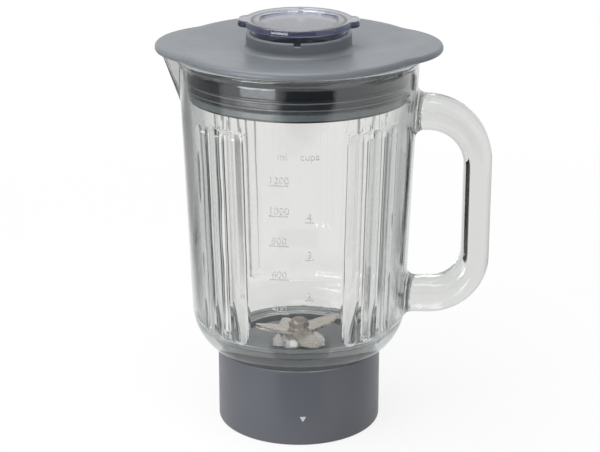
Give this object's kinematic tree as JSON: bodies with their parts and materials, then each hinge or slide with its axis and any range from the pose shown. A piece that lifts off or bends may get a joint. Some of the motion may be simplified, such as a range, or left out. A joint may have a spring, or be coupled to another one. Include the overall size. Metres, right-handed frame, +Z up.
{
  "type": "blender jar",
  "caption": "Glass jar with pouring spout, corner ribs and D handle, a grey lid with a clear filler cap, and a twist-locked base collar carrying bent blades on a driven spindle.",
  "frame": {"origin": "centre of the outlet bore at the lower face of the base collar", "axes": "+Z up along the jar's axis, +X towards the handle, the front panel faces -Y"},
  "size_m": [0.186, 0.1374, 0.2342],
  "materials": {
    "glass": "clear pressed glass",
    "lid_grey": "satin moulded",
    "seal_rubber": "matt",
    "smoky_clear": "clear smoky",
    "base_grey": "satin moulded",
    "turned_steel": "turned",
    "blade_steel": "stamped and ground",
    "bush_bronze": "sintered",
    "coupling_black": "moulded"
  },
  "bodies": {
    "base": {"blade_base": "base_grey", "base_seal": "seal_rubber", "bearing_housing": "turned_steel", "housing_gasket": "seal_rubber", "housing_nut": "turned_steel", "upper_bush": "bush_bronze", "lower_bush": "bush_bronze", "shaft_seal": "seal_rubber"},
    "jar": {"goblet": "glass"},
    "lid": {"lid": "lid_grey", "lid_seal": "seal_rubber"},
    "cap": {"filler_cap": "smoky_clear"},
    "blades": {"drive_shaft": "turned_steel", "lower_blade": "blade_steel", "upper_blade": "blade_steel", "lock_washer": "turned_steel", "blade_nut": "turned_steel", "upper_washer": "turned_steel", "lower_washer": "turned_steel", "circlip": "turned_steel", "drive_coupling": "coupling_black"}
  },
  "joints": [
    {"name": "base_twist", "type": "hinge", "parent": "base", "child": "jar", "pos_m": [0, 0, 0.04], "axis": [0, 0, 1], "range_deg": [0, 40]},
    {"name": "lid_lift", "type": "slide", "parent": "jar", "child": "lid", "axis": [0, 0, 1], "range_m": [0, 0.12]},
    {"name": "cap_lift", "type": "slide", "parent": "lid", "child": "cap", "axis": [0, 0, 1], "range_m": [0, 0.06]},
    {"name": "blade_spin", "type": "hinge", "parent": "base", "child": "blades", "pos_m": [0, 0, 0.04], "axis": [0, 0, 1], "continuous": true}
  ]
}
